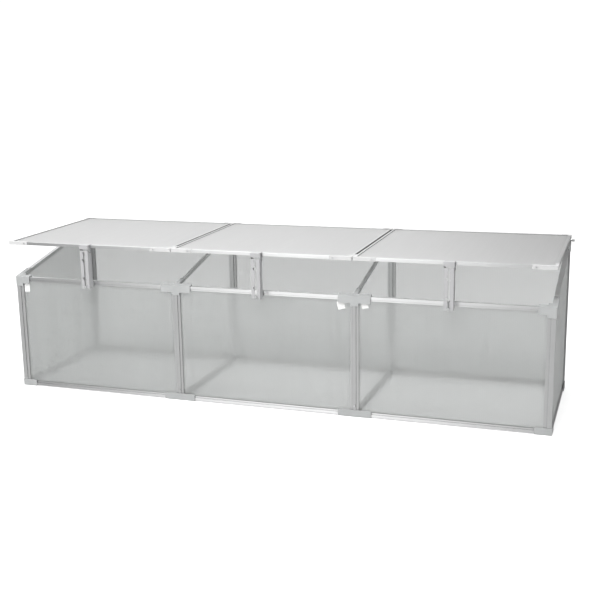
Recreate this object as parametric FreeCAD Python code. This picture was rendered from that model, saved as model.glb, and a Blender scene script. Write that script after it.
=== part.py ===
import FreeCAD, Part
import math
import os

# Three-bay cold frame: aluminium rails and posts, fluted twin-wall sheets, moulded joiners,
# and three lids that turn on rods along the rear top edge. Millimetres.
# +X is the width to the right, +Y is the depth towards the hinges, +Z is up.
# Everything is laid out around the centre of the frame's footprint on the ground. Each solid is
# then moved by ORIGIN_SHIFT_Y, which puts the origin under the centre of the whole object.

Vec = FreeCAD.Vector

# ---- driving dimensions of the frame ----
WIDTH = 1800.0
DEPTH = 490.0
FRONT_HEIGHT = 387.5          # top of the front joiners, at the front face
REAR_HEIGHT = 502.0           # top of the rear joiners, at the rear face
PARTITION_X = 300.0           # middle posts stand at plus and minus this
WALL = 1.2                    # aluminium wall thickness
GAP = 0.15                    # play between parts that only touch
TOUCH = 0.01                  # points closer than this are the same point

# ---- rail section: a box, with two lips that hold a sheet's edge ----
RAIL_DEPTH = 14.0
RAIL_BOX = 8.0
RAIL_LIP = 6.0
LIP_IN = 2.0                  # outer lip's face is this far behind the rail's face
LIP_THICK = 1.4
SHEET_IN = 4.0                # sheet's outer face is this far behind the rail's face
SLOT_IN = LIP_IN + LIP_THICK
SLOT_OUT = 8.6
FLOOR_GAP = 3.0               # rails ride this high on the feet
TOP_PLATE = 1.4               # joiner's cover over the rails
RAIL_DROP = 1.5               # rails' top lies this far below the joiners' top

# ---- posts ----
POST_REACH = 25.0             # corner post's width, box and lips together
MIDDLE_POST_BOX = 9.0
MIDDLE_POST_HALF = 13.5

# ---- moulded feet and joiners ----
COVER = 2.0                   # moulding's wall outside the rails' faces
CORE = 25.0                   # solid part of a corner moulding, from the frame's face
MIDDLE_CORE_HALF = 13.5
MIDDLE_CORE_IN = 16.0
ARM = 26.0                    # how far a moulding covers a rail's end
FOOT_HEIGHT = 22.0
JOINER_CORE = 33.0            # height of a top joiner at its post
JOINER_ARM = 23.0             # height of a top joiner over the rails
PEG = 20.0                    # pegs go this far into the rails and posts
EAR = 46.0                    # length of a joiner's ear over a sloped rail
TEE_EAR = 40.0
EAR_SIDE = 8.0                # height of the thin sides below a tee's ear
CORNER_EAR_SIDE = 14.5        # height of the thin side below a corner joiner's ear
MIDDLE_FOOT_EXTRA = 14.0      # a middle foot's arms are this much longer than a corner foot's
TEE_EXTRA = 12.0              # and a tee joiner's arms by this much
UPRIGHT_ROUND = 3.0           # radius of a moulding's outer upright edge

# ---- cross rails under the partitions ----
CROSS_WIDTH = 14.0
CROSS_HEIGHT = 12.0
CROSS_TOP_WIDTH = 9.0
CROSS_TOP_HEIGHT = 10.0

# ---- twin-wall sheet ----
SHEET = 4.0
SKIN = 0.5
RIB = 0.5
FLUTE_PITCH = 6.0

# ---- hinge ----
HINGE_Y = 250.0
HINGE_Z = 502.0
ROD_R = 1.6
ROD_END_X = 908.0
LUG_R = 3.2
TUBE_R = 3.6
TUBE_BORE_R = 1.65
ROD_CAP_R = 4.2
ROD_CAP_LENGTH = 9.0
RIM_ROUND = 1.2               # radius of the rims of plugs, pegs and pan heads
ROD_END_GAP = 0.1             # rods stop this far from a partition's middle
CORNER_LUG = (1.5, 14.0)      # a corner lug's ends, in from the frame's side
TEE_LUG_HALF = 6.0
TUBE_ROOM = 0.4               # room in the joiners around a lid's tube
TUBE_END = (15.0, 7.0)        # a lid's tube stops this far in from a side and from a partition
WEB_HALF = 2.2
WEB_LOW = 2.0

# ---- lids: distances forward of the hinge axis and above it, with the lid level ----
REST_TILT = 0.9               # degrees the propped lid slopes down to the front
LID_WIDTH = 598.0
LID_PITCH = 601.5
LID_REAR = -6.0
LID_FRONT = 520.0
LID_BOTTOM = 8.0
LID_TOP = 17.5
LID_SIDE_RAIL = 10.0
LID_FRONT_RAIL = 12.0
LID_REAR_RAIL = 14.0
LID_BOX_TOP = 12.0            # top of the rails' hollow part, floor of the sheet's slot
LID_SLOT_TOP = 16.4
LID_SHEET_BOTTOM = 12.2
CAP_WALL = 0.9
FRONT_CAP_LENGTH = 72.0
FRONT_CAP_SIDE = 42.0
REAR_CAP_LENGTH = 32.0
REAR_CAP_SIDE = 26.0
CAP_ARM = 11.0                # width of a cap's arm over a side rail
REAR_CAP_ARM = 12.0
REAR_CAP_LIFT = 0.2           # rear caps stop this far above the rails' underside
LID_LIP = 1.5                 # outer wall of the slot for the sheet
REAR_SLOT_IN = 3.0
RING_IN = 12.0                # the ring's distance from the front cap's inner end
RING_ABOVE = 12.75
RING_R = 3.9
RING_BORE_R = 2.2
RING_HEIGHT = 0.7

# ---- stays ----
STAY_SHIFT = -6.0             # stays hang this far from the lids' middles
PIVOT_FORWARD = 518.0
PIVOT_ABOVE = -4.4
BAR_HALF = 14.5
BAR_SHEET = 1.2
BAR_FACE_Y = -284.0
BAR_BOTTOM_Z = 367.0
BAR_TOP_ABOVE_PIVOT = 5.0
BAR_ROUND = 6.4
BRACKET_HALF = 16.0
BRACKET_REACH = 14.1          # bracket's face is this far in front of the lid
BRACKET_GRIP = 11.5           # its clip reaches this far back over and under the front rail
BRACKET_LOW = 5.0             # lower end of its face, above the hinge axis
EYE_R = 5.2
EAR_HALF = 4.6
EAR_BELOW = 2.8
EAR_REAR_ABOVE = 1.5
SLOT_HALF = 3.0
KEYHOLE_R = 5.0
KEYHOLE_Z = (397.0, 458.0)
TOP_HOLE_Z = 487.0
TOP_HOLE_R = 4.2
NOTCH = 5.7                   # how far a keyhole's resting notch goes up and to the left
RIVET_R = 2.2
RIVET_PLAY = 0.1
RIVET_TAIL_R = 3.4
RIVET_HEAD_R = (4.0, 2.6)
RIVET_HEAD = 1.3
FLANGE_TAPER = (5.0, 8.0)     # lower rear corner of the channel's sides: back from the edge, and up
PUNCH = 10.0                  # length of the tools that punch the channel's face

# ---- stay pegs on the front top rails ----
PEG_STUD_Z = 373.0
PEG_BASE_HALF = 10.0
PEG_BASE = 3.0
PEG_BOSS_R = 4.2
PEG_BOSS_END_Y = -266.0
PEG_NECK_R = 2.5
PEG_HEAD_R = 4.5
PEG_HEAD_Y = -286.3
PEG_HEAD = 2.6
PEG_STEM_R = 2.0
PEG_STEM_Z = 381.5
PEG_BASE_BELOW = 5.0
PEG_BOSS_SPREAD = 1.5         # the boss is this much wider at its foot

# ---- screws ----
SCREW_R = 1.5
SCREW_HEAD_R = 3.2
SCREW_HEAD = 1.7
SCREW_LENGTH = 9.0
PAN_R = 3.6
PAN_HEIGHT = 1.8
SLOT_WIDTH = 0.8              # driver's slots: width, depth and half length
SLOT_DEPTH = 0.8
SLOT_REACH = 2.2
POST_SCREW_Z = 35.0
EAR_SCREW_IN = 7.0            # ear screws sit this far from the ear's end

# ---- origin ----
ORIGIN_SHIFT_Y = 15.94        # from the footprint's centre to the whole object's, lids and stays included

HALF_WIDTH = WIDTH / 2
HALF_DEPTH = DEPTH / 2
RISE = (REAR_HEIGHT - FRONT_HEIGHT) / DEPTH
SLOPE = math.degrees(math.atan(RISE))
FRONT_RAIL_TOP = FRONT_HEIGHT - RAIL_DROP
REAR_RAIL_TOP = REAR_HEIGHT - RISE * RAIL_DEPTH - RAIL_DROP
RAIL_HEIGHT = RAIL_BOX + RAIL_LIP
SLOPED_BOX = 8.2              # vertical height of a sloped rail's box
SLOPED_LIP = 6.2
LEFT, MIDDLE, RIGHT = -1, 0, 1
FRONT, REAR = -1, 1
BAYS = {"left": LEFT, "middle": MIDDLE, "right": RIGHT}


# ---- solids from plain outlines ----

def box(x0, x1, y0, y1, z0, z1):
    low = Vec(min(x0, x1), min(y0, y1), min(z0, z1))
    return Part.makeBox(abs(x1 - x0), abs(y1 - y0), abs(z1 - z0), low)


def prism_x(points, x0, x1):
    """An outline of (y, z) points, drawn out from x0 to x1."""
    corners = [Vec(x0, y, z) for y, z in points]
    face = Part.Face(Part.makePolygon(corners + corners[:1]))
    return face.extrude(Vec(x1 - x0, 0, 0))


def cylinder(start, direction, length, radius):
    return Part.makeCylinder(radius, length, start, direction)


def joined(shapes):
    return shapes[0].multiFuse(shapes[1:]).removeSplitter()


def rounded_rim(solid, axis, position, radius):
    """Rounds the edges of a turned solid that lie at a position along its axis, "x" or "y"."""
    rim = [edge for edge in solid.Edges if abs(getattr(edge.CenterOfMass, axis) - position) < TOUCH]
    return solid.makeFillet(radius, rim)


def frame_top(y):
    """Height of the joiners' sloping top plane."""
    return FRONT_HEIGHT + (y + HALF_DEPTH) * RISE


def rail_top(wall):
    return FRONT_RAIL_TOP if wall == FRONT else REAR_RAIL_TOP


def wall_box(wall, x0, x1, in0, in1, z0, z1):
    """A box along the front or rear wall, in0 to in1 behind that wall's face."""
    return box(x0, x1, wall * (HALF_DEPTH - in0), wall * (HALF_DEPTH - in1), z0, z1)


def side_box(side, in0, in1, y0, y1, z0, z1):
    return box(side * (HALF_WIDTH - in0), side * (HALF_WIDTH - in1), y0, y1, z0, z1)


def corner_box(side, wall, x_in0, x_in1, y_in0, y_in1, z0, z1):
    """A box at a corner, measured inwards from the side face and from the wall face."""
    x0, x1 = side * (HALF_WIDTH - x_in0), side * (HALF_WIDTH - x_in1)
    return wall_box(wall, x0, x1, y_in0, y_in1, z0, z1)


def sloped_bar(x0, x1, y0, y1, drop0, drop1):
    """A bar parallel to the joiners' top plane, between two vertical drops below it."""
    outline = [
        (y0, frame_top(y0) - drop0),
        (y1, frame_top(y1) - drop0),
        (y1, frame_top(y1) - drop1),
        (y0, frame_top(y0) - drop1),
    ]
    return prism_x(outline, x0, x1)


# ---- rails ----

def wall_rail(wall, x0, x1, closed_z, lips):
    """A rail along X. Its box starts at closed_z, and its lips point up (1) or down (-1)."""
    inside = (closed_z + lips * WALL, closed_z + lips * (RAIL_BOX - WALL))
    lip_z = (closed_z + lips * (RAIL_BOX - WALL / 2), closed_z + lips * RAIL_HEIGHT)
    outer = wall_box(wall, x0, x1, 0, RAIL_DEPTH, closed_z, closed_z + lips * RAIL_BOX)
    hollow = wall_box(wall, x0, x1, WALL, RAIL_DEPTH - WALL, *inside)
    outer_lip = wall_box(wall, x0, x1, LIP_IN, SLOT_IN, *lip_z)
    inner_lip = wall_box(wall, x0, x1, SLOT_OUT, SLOT_OUT + LIP_THICK, *lip_z)
    return joined([outer.cut(hollow), outer_lip, inner_lip])


def side_base_rail(side):
    end = HALF_DEPTH - CORE - GAP
    y = (-end, end)
    top = FLOOR_GAP + RAIL_BOX
    outer = side_box(side, 0, RAIL_DEPTH, *y, FLOOR_GAP, top)
    hollow = side_box(side, WALL, RAIL_DEPTH - WALL, *y, FLOOR_GAP + WALL, top - WALL)
    lip_z = (top - WALL / 2, FLOOR_GAP + RAIL_HEIGHT)
    outer_lip = side_box(side, LIP_IN, SLOT_IN, *y, *lip_z)
    inner_lip = side_box(side, SLOT_OUT, SLOT_OUT + LIP_THICK, *y, *lip_z)
    return joined([outer.cut(hollow), outer_lip, inner_lip])


def side_bar(side, in0, in1, y0, y1, drop0, drop1):
    return sloped_bar(side * (HALF_WIDTH - in0), side * (HALF_WIDTH - in1), y0, y1, drop0, drop1)


def side_top_rail(side):
    end = HALF_DEPTH - CORE - GAP
    y = (-end, end)
    under = RAIL_DROP + SLOPED_BOX
    outer = side_bar(side, 0, RAIL_DEPTH, *y, RAIL_DROP, under)
    hollow = side_bar(side, WALL, RAIL_DEPTH - WALL, *y, RAIL_DROP + WALL, under - WALL)
    lip = (under - WALL / 2, under + SLOPED_LIP)
    outer_lip = side_bar(side, LIP_IN, SLOT_IN, *y, *lip)
    inner_lip = side_bar(side, SLOT_OUT, SLOT_OUT + LIP_THICK, *y, *lip)
    rail = joined([outer.cut(hollow), outer_lip, inner_lip])
    for wall in (FRONT, REAR):
        rail = rail.cut(ear_screw(side * (HALF_WIDTH - RAIL_DEPTH / 2), wall, EAR, CORE, GAP))
    return rail


def cross_base_rail(x):
    end = HALF_DEPTH - MIDDLE_CORE_IN - GAP
    half = CROSS_WIDTH / 2
    low, high = FLOOR_GAP, FLOOR_GAP + CROSS_HEIGHT
    outer = box(x - half, x + half, -end, end, low, high)
    return outer.cut(box(x - half + WALL, x + half - WALL, -end, end, low + WALL, high - WALL))


def cross_top_rail(x):
    end = HALF_DEPTH - MIDDLE_CORE_IN - GAP
    half = CROSS_TOP_WIDTH / 2
    under = RAIL_DROP + CROSS_TOP_HEIGHT
    outer = sloped_bar(x - half, x + half, -end, end, RAIL_DROP, under)
    hollow = sloped_bar(x - half + WALL, x + half - WALL, -end, end, RAIL_DROP + WALL, under - WALL)
    rail = outer.cut(hollow)
    for wall in (FRONT, REAR):
        rail = rail.cut(ear_screw(x, wall, TEE_EAR, MIDDLE_CORE_IN, GAP))
    return rail


def bay_span(bay, corner_inset, middle_inset):
    """X limits of a bay, inset from the frame's ends and from the partitions' middles."""
    spans = {
        LEFT: (-HALF_WIDTH + corner_inset, -PARTITION_X - middle_inset),
        MIDDLE: (-PARTITION_X + middle_inset, PARTITION_X - middle_inset),
        RIGHT: (PARTITION_X + middle_inset, HALF_WIDTH - corner_inset),
    }
    return spans[bay]


def bay_rail(bay, wall, closed_z, lips):
    x0, x1 = bay_span(bay, CORE + GAP, MIDDLE_CORE_HALF + GAP)
    return wall_rail(wall, x0, x1, closed_z, lips)


def front_top_rail(bay):
    rail = bay_rail(bay, FRONT, FRONT_RAIL_TOP, -1)
    start = Vec(stay_x(bay), -HALF_DEPTH - 1, PEG_STEM_Z)
    return rail.cut(cylinder(start, Vec(0, 1, 0), RAIL_DEPTH / 2, PEG_STEM_R + GAP))


# ---- posts ----

def post_top(wall):
    return frame_top(wall * HALF_DEPTH) - JOINER_CORE


def corner_post(side, wall):
    z = (FOOT_HEIGHT + GAP, post_top(wall) - GAP)
    tube = corner_box(side, wall, 0, RAIL_DEPTH, 0, RAIL_DEPTH, *z)
    bore = (WALL, RAIL_DEPTH - WALL)
    parts = [tube.cut(corner_box(side, wall, *bore, *bore, *z))]
    reach = (RAIL_DEPTH - WALL / 2, POST_REACH)
    for lip_in in (LIP_IN, SLOT_OUT):
        lip = (lip_in, lip_in + LIP_THICK)
        parts.append(corner_box(side, wall, *reach, *lip, *z))
        parts.append(corner_box(side, wall, *lip, *reach, *z))
    return joined(parts)


def middle_post(x, wall):
    z = (FOOT_HEIGHT + GAP, post_top(wall) - GAP)
    half = MIDDLE_POST_BOX / 2
    tube = wall_box(wall, x - half, x + half, 0, RAIL_DEPTH, *z)
    bore = wall_box(wall, x - half + WALL, x + half - WALL, WALL, RAIL_DEPTH - WALL, *z)
    parts = [tube.cut(bore)]
    for lip_in in (LIP_IN, SLOT_OUT):
        for side in (LEFT, RIGHT):
            x0, x1 = x + side * (half - WALL / 2), x + side * MIDDLE_POST_HALF
            parts.append(wall_box(wall, x0, x1, lip_in, lip_in + LIP_THICK, *z))
    return joined(parts).cut(post_screw(x, wall, GAP))


# ---- twin-wall sheets ----

def rectangle(x0, x1, y0, y1):
    """A closed outline on the ground plane."""
    corners = [Vec(x0, y0, 0), Vec(x1, y0, 0), Vec(x1, y1, 0), Vec(x0, y1, 0)]
    return Part.makePolygon(corners + corners[:1])


def twin_wall(width, length):
    """A fluted sheet: width along X, thickness along Y from 0, flutes along Z."""
    flutes = int((width - RIB) // FLUTE_PITCH)
    start = -flutes * FLUTE_PITCH / 2
    wires = [rectangle(-width / 2, width / 2, 0, SHEET)]
    for number in range(flutes):
        x = start + number * FLUTE_PITCH + RIB / 2
        wires.append(rectangle(x, x + FLUTE_PITCH - RIB, SKIN, SHEET - SKIN))
    face = Part.makeFace(wires, "Part::FaceMakerBullseye")
    return face.extrude(Vec(0, 0, length))


def wall_sheet(bay, wall):
    x0, x1 = bay_span(bay, RAIL_DEPTH + 1, MIDDLE_POST_BOX / 2 + 1)
    low = FLOOR_GAP + RAIL_BOX + 1
    high = rail_top(wall) - RAIL_BOX - 1
    sheet = twin_wall(x1 - x0, high - low)
    y = -HALF_DEPTH + SHEET_IN if wall == FRONT else HALF_DEPTH - SHEET_IN - SHEET
    sheet.translate(Vec((x0 + x1) / 2, y, low))
    return sheet


def side_sheet(side):
    reach = HALF_DEPTH - RAIL_DEPTH - 1
    low = FLOOR_GAP + RAIL_BOX + 1
    sheet = twin_wall(2 * reach, REAR_HEIGHT)
    sheet.rotate(Vec(0, 0, 0), Vec(0, 0, 1), 90)
    x = -HALF_WIDTH + SHEET_IN + SHEET if side == LEFT else HALF_WIDTH - SHEET_IN
    sheet.translate(Vec(x, 0, low))
    above = RAIL_DROP + SLOPED_BOX + 1
    return sheet.cut(side_bar(side, 0, RAIL_DEPTH, -HALF_DEPTH, HALF_DEPTH, above, -2 * REAR_HEIGHT))


# ---- screws ----

def countersunk(play):
    """A countersunk screw that points down from the origin. play makes the hole it needs."""
    head = Part.makeCone(SCREW_R + play, SCREW_HEAD_R + play, SCREW_HEAD, Vec(0, 0, -SCREW_HEAD))
    shank = cylinder(Vec(0, 0, -SCREW_LENGTH - play), Vec(0, 0, 1), SCREW_LENGTH, SCREW_R + play)
    return joined([head, shank])


def cross_recess():
    """The driver's cross in a screw head whose top is at the origin."""
    reach, half = SLOT_REACH, SLOT_WIDTH / 2
    across = box(-reach, reach, -half, half, -SLOT_DEPTH, 1)
    return across.fuse(box(-half, half, -reach, reach, -SLOT_DEPTH, 1))


def ear_screw(x, wall, ear, core, play=0.0):
    """The screw at the end of a joiner's ear, square to the slope."""
    y = wall * (HALF_DEPTH - core - ear + EAR_SCREW_IN)
    screw = countersunk(play)
    if not play:
        screw = screw.cut(cross_recess())
    screw.rotate(Vec(0, 0, 0), Vec(1, 0, 0), SLOPE)
    screw.translate(Vec(x, y, frame_top(y)))
    return screw


def post_screw(x, wall, play=0.0):
    """The pan-head screw that fixes a middle post to its foot's peg."""
    face = Vec(x, wall * HALF_DEPTH, POST_SCREW_Z)
    inward = Vec(0, -wall, 0)
    shank = cylinder(face, inward, SCREW_LENGTH, SCREW_R + play)
    if play:
        return shank
    top = face.y + wall * PAN_HEIGHT
    head = rounded_rim(cylinder(face, Vec(0, wall, 0), PAN_HEIGHT, PAN_R), "y", top, RIM_ROUND)
    half = SLOT_WIDTH / 2
    slot_y = (top - wall * SLOT_DEPTH, top + wall)
    slot = box(x - SLOT_REACH, x + SLOT_REACH, *slot_y, POST_SCREW_Z - half, POST_SCREW_Z + half)
    return joined([head.cut(slot), shank])


# ---- moulded feet ----

def rounded_upright(shape, x, y, radius):
    """Rounds the upright edge of a shape at (x, y)."""
    picked = []
    for edge in shape.Edges:
        span = edge.BoundBox
        upright = span.ZLength > 1 and span.XLength < TOUCH and span.YLength < TOUCH
        if upright and abs(span.XMin - x) < TOUCH and abs(span.YMin - y) < TOUCH:
            picked.append(edge)
    return shape.makeFillet(radius, picked)


def foot_arm(wall, x0, x1):
    """The tray that a foot makes around a rail along X: front wall and floor."""
    face = wall_box(wall, x0, x1, -COVER, -GAP, 0, FOOT_HEIGHT)
    floor = wall_box(wall, x0, x1, -COVER, RAIL_DEPTH + COVER, 0, FLOOR_GAP - GAP)
    return [face, floor]


def rail_peg(wall, x0, x1, closed_z, lips):
    """A peg for the hollow of a rail along X."""
    fit = WALL + GAP
    z = (closed_z + lips * fit, closed_z + lips * (RAIL_BOX - fit))
    return wall_box(wall, x0, x1, fit, RAIL_DEPTH - fit, *z)


def slot_cut(wall, x0, x1, z0, z1):
    """The room for a wall sheet's edge in a moulding."""
    return wall_box(wall, x0, x1, SLOT_IN, SLOT_OUT, z0, z1)


def corner_foot(side, wall):
    outer = HALF_WIDTH
    core = corner_box(side, wall, -COVER, CORE, -COVER, CORE, 0, FOOT_HEIGHT)
    core = rounded_upright(core, side * (outer + COVER), wall * (HALF_DEPTH + COVER), UPRIGHT_ROUND)
    reach = CORE + ARM
    near, far = side * (outer - RAIL_DEPTH), side * (outer - reach)
    parts = [core] + foot_arm(wall, near, far)
    parts.append(corner_box(side, wall, -COVER, -GAP, RAIL_DEPTH, reach, 0, FOOT_HEIGHT))
    tray = (-COVER, RAIL_DEPTH + COVER)
    parts.append(corner_box(side, wall, *tray, RAIL_DEPTH, reach, 0, FLOOR_GAP - GAP))
    peg_end = CORE + PEG
    parts.append(rail_peg(wall, near, side * (outer - peg_end), FLOOR_GAP, 1))
    fit = WALL + GAP
    peg_z = (FLOOR_GAP + fit, FLOOR_GAP + RAIL_BOX - fit)
    parts.append(corner_box(side, wall, fit, RAIL_DEPTH - fit, RAIL_DEPTH, peg_end, *peg_z))
    post_peg = (fit, RAIL_DEPTH - fit)
    parts.append(corner_box(side, wall, *post_peg, *post_peg, FOOT_HEIGHT - 1, FOOT_HEIGHT + PEG))
    foot = joined(parts)
    slot_z = (FLOOR_GAP + RAIL_BOX, FOOT_HEIGHT + 1)
    foot = foot.cut(slot_cut(wall, near, far, *slot_z))
    return foot.cut(corner_box(side, wall, SLOT_IN, SLOT_OUT, RAIL_DEPTH, reach, *slot_z))


def middle_foot(x, wall):
    core_x = (x - MIDDLE_CORE_HALF, x + MIDDLE_CORE_HALF)
    reach = MIDDLE_CORE_HALF + ARM + MIDDLE_FOOT_EXTRA
    parts = [wall_box(wall, *core_x, -COVER, MIDDLE_CORE_IN, 0, FOOT_HEIGHT)]
    parts += foot_arm(wall, x - reach, x + reach)
    peg_reach = MIDDLE_CORE_HALF + PEG
    parts.append(rail_peg(wall, x - peg_reach, x + peg_reach, FLOOR_GAP, 1))
    half = CROSS_WIDTH / 2
    tray = (x - half - COVER, x + half + COVER, RAIL_DEPTH, MIDDLE_CORE_IN + ARM)
    parts.append(wall_box(wall, *tray, 0, FLOOR_GAP - GAP))
    fit = WALL + GAP
    peg_z = (FLOOR_GAP + fit, FLOOR_GAP + CROSS_HEIGHT - fit)
    parts.append(wall_box(wall, x - half + fit, x + half - fit, RAIL_DEPTH, MIDDLE_CORE_IN + PEG, *peg_z))
    half = MIDDLE_POST_BOX / 2
    post_peg = (x - half + fit, x + half - fit, fit, RAIL_DEPTH - fit)
    parts.append(wall_box(wall, *post_peg, FOOT_HEIGHT - 1, FOOT_HEIGHT + PEG))
    foot = joined(parts)
    for side in (LEFT, RIGHT):
        x0, x1 = x + side * half, x + side * reach
        foot = foot.cut(slot_cut(wall, x0, x1, FLOOR_GAP + RAIL_BOX, FOOT_HEIGHT + 1))
    return foot.cut(post_screw(x, wall, GAP))


# ---- moulded top joiners ----

def joiner_core(wall, x0, x1, core):
    """The solid part over a post, with its top on the joiners' plane."""
    y0, y1 = wall * (HALF_DEPTH + COVER), wall * (HALF_DEPTH - core)
    low = post_top(wall)
    outline = [(y0, low), (y1, low), (y1, frame_top(y1)), (y0, frame_top(y0))]
    return prism_x(outline, x0, x1)


def joiner_arm(wall, x0, x1):
    """The cover over a top rail's end: front wall and top plate."""
    face, back = wall * (HALF_DEPTH + COVER), wall * (HALF_DEPTH - RAIL_DEPTH - COVER / 2)
    inner = wall * (HALF_DEPTH + GAP)
    low = frame_top(face) - JOINER_ARM
    under = rail_top(wall) + GAP
    outline = [
        (face, low),
        (inner, low),
        (inner, under),
        (back, under),
        (back, frame_top(back)),
        (face, frame_top(face)),
    ]
    return prism_x(outline, x0, x1)


def joiner_ear(x0, x1, wall, core, ear):
    """The plate over a sloped rail's end."""
    y0, y1 = wall * (HALF_DEPTH - core + 2), wall * (HALF_DEPTH - core - ear)
    return sloped_bar(x0, x1, y0, y1, 0, TOP_PLATE)


def rod_lug(x0, x1):
    """The eye that holds the hinge rod behind a rear joiner."""
    neck = [
        (HALF_DEPTH - 1, REAR_HEIGHT - 16),
        (HINGE_Y + 1.5, HINGE_Z - 2.6),
        (HINGE_Y - 2, HINGE_Z + 2),
        (HALF_DEPTH - 1, frame_top(HALF_DEPTH - 1) - 0.5),
    ]
    eye = cylinder(Vec(x0, HINGE_Y, HINGE_Z), Vec(x1 - x0, 0, 0), abs(x1 - x0), LUG_R)
    return joined([prism_x(neck, x0, x1), eye])


def rod_bore():
    start = Vec(-WIDTH, HINGE_Y, HINGE_Z)
    return cylinder(start, Vec(1, 0, 0), 2 * WIDTH, TUBE_BORE_R)


def tube_room(side, lug_x, end_x):
    """The channel in a rear joiner that a lid's tube turns in, from its lug to its arm's end."""
    start = Vec(lug_x + side * TUBE_ROOM, HINGE_Y, HINGE_Z)
    length = abs(end_x - start.x) + 1
    return cylinder(start, Vec(side, 0, 0), length, TUBE_R + TUBE_ROOM)


def corner_joiner(side, wall):
    outer = HALF_WIDTH
    low = post_top(wall)
    face_x = side * (outer + COVER)
    core = joiner_core(wall, face_x, side * (outer - CORE), CORE)
    core = rounded_upright(core, face_x, wall * (HALF_DEPTH + COVER), UPRIGHT_ROUND)
    reach = CORE + ARM
    near, far = side * (outer - RAIL_DEPTH), side * (outer - reach)
    parts = [core, joiner_arm(wall, near, far)]
    y0, y1 = wall * (HALF_DEPTH - CORE + 2), wall * (HALF_DEPTH - CORE - EAR)
    parts.append(joiner_ear(face_x, side * (outer - RAIL_DEPTH - GAP), wall, CORE, EAR))
    parts.append(side_bar(side, -COVER, -GAP, y0, y1, 0, CORNER_EAR_SIDE))
    parts.append(rail_peg(wall, near, side * (outer - CORE - PEG), rail_top(wall), -1))
    fit = WALL + GAP
    sloped = (RAIL_DROP + fit, RAIL_DROP + SLOPED_BOX - fit)
    peg_y = (wall * (HALF_DEPTH - RAIL_DEPTH), wall * (HALF_DEPTH - CORE - PEG))
    parts.append(side_bar(side, fit, RAIL_DEPTH - fit, *peg_y, *sloped))
    post_peg = (fit, RAIL_DEPTH - fit)
    parts.append(corner_box(side, wall, *post_peg, *post_peg, low - PEG, low + 1))
    if wall == REAR:
        parts.append(rod_lug(side * (outer - CORNER_LUG[1]), side * (outer - CORNER_LUG[0])))
    joiner = joined(parts)
    under = rail_top(wall) - RAIL_BOX
    joiner = joiner.cut(slot_cut(wall, near, far, low - 1, under))
    sheet_y = (wall * (HALF_DEPTH - RAIL_DEPTH), wall * (HALF_DEPTH - reach))
    sheet_drop = (RAIL_DROP + SLOPED_BOX, RAIL_DROP + 2 * JOINER_CORE)
    joiner = joiner.cut(side_bar(side, SLOT_IN, SLOT_OUT, *sheet_y, *sheet_drop))
    joiner = joiner.cut(ear_screw(side * (outer - RAIL_DEPTH / 2), wall, EAR, CORE, GAP))
    if wall == FRONT:
        return joiner
    return joiner.cut(rod_bore()).cut(tube_room(-side, side * (outer - CORNER_LUG[1]), far))


def tee_joiner(x, wall):
    low = post_top(wall)
    core = joiner_core(wall, x - MIDDLE_CORE_HALF, x + MIDDLE_CORE_HALF, MIDDLE_CORE_IN)
    reach = MIDDLE_CORE_HALF + ARM + TEE_EXTRA
    parts = [core, joiner_arm(wall, x - reach, x + reach)]
    half = CROSS_TOP_WIDTH / 2 + COVER
    parts.append(joiner_ear(x - half, x + half, wall, MIDDLE_CORE_IN, TEE_EAR))
    ear_y = (wall * (HALF_DEPTH - MIDDLE_CORE_IN + 2), wall * (HALF_DEPTH - MIDDLE_CORE_IN - TEE_EAR))
    for side in (LEFT, RIGHT):
        x0, x1 = x + side * (half - COVER + GAP), x + side * half
        parts.append(sloped_bar(x0, x1, *ear_y, 0, EAR_SIDE))
    peg_reach = MIDDLE_CORE_HALF + PEG
    parts.append(rail_peg(wall, x - peg_reach, x + peg_reach, rail_top(wall), -1))
    fit = WALL + GAP
    peg_y = (wall * (HALF_DEPTH - RAIL_DEPTH), wall * (HALF_DEPTH - MIDDLE_CORE_IN - PEG))
    peg_half = CROSS_TOP_WIDTH / 2 - fit
    peg_drop = (RAIL_DROP + fit, RAIL_DROP + CROSS_TOP_HEIGHT - fit)
    parts.append(sloped_bar(x - peg_half, x + peg_half, *peg_y, *peg_drop))
    post_half = MIDDLE_POST_BOX / 2
    post_peg = (x - post_half + fit, x + post_half - fit, fit, RAIL_DEPTH - fit)
    parts.append(wall_box(wall, *post_peg, low - PEG, low + 1))
    if wall == REAR:
        parts.append(rod_lug(x - TEE_LUG_HALF, x + TEE_LUG_HALF))
    joiner = joined(parts)
    for side in (LEFT, RIGHT):
        x0, x1 = x + side * post_half, x + side * reach
        joiner = joiner.cut(slot_cut(wall, x0, x1, low - 1, rail_top(wall) - RAIL_BOX))
    joiner = joiner.cut(ear_screw(x, wall, TEE_EAR, MIDDLE_CORE_IN, GAP))
    if wall == FRONT:
        return joiner
    rooms = [tube_room(side, x + side * TEE_LUG_HALF, x + side * reach) for side in (LEFT, RIGHT)]
    return joiner.cut([rod_bore()] + rooms)


# ---- hinge rods ----

def hinge_rod(bay):
    x0, x1 = bay_span(bay, HALF_WIDTH - ROD_END_X, ROD_END_GAP)
    return cylinder(Vec(x0, HINGE_Y, HINGE_Z), Vec(1, 0, 0), x1 - x0, ROD_R)


def rod_cap(side):
    """The push-on plug at a rod's outer end."""
    start = Vec(side * (HALF_WIDTH + COVER + 1), HINGE_Y, HINGE_Z)
    outward = Vec(side, 0, 0)
    plug = cylinder(start, outward, ROD_CAP_LENGTH, ROD_CAP_R)
    plug = rounded_rim(plug, "x", start.x + side * ROD_CAP_LENGTH, RIM_ROUND)
    return plug.cut(cylinder(start, outward, ROD_END_X - abs(start.x) + GAP, TUBE_BORE_R))


# ---- lids ----

def lid_box(x0, x1, forward0, forward1, above0, above1):
    """A box in a level lid, measured forward of the hinge axis and above it."""
    return box(x0, x1, HINGE_Y - forward0, HINGE_Y - forward1, HINGE_Z + above0, HINGE_Z + above1)


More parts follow.
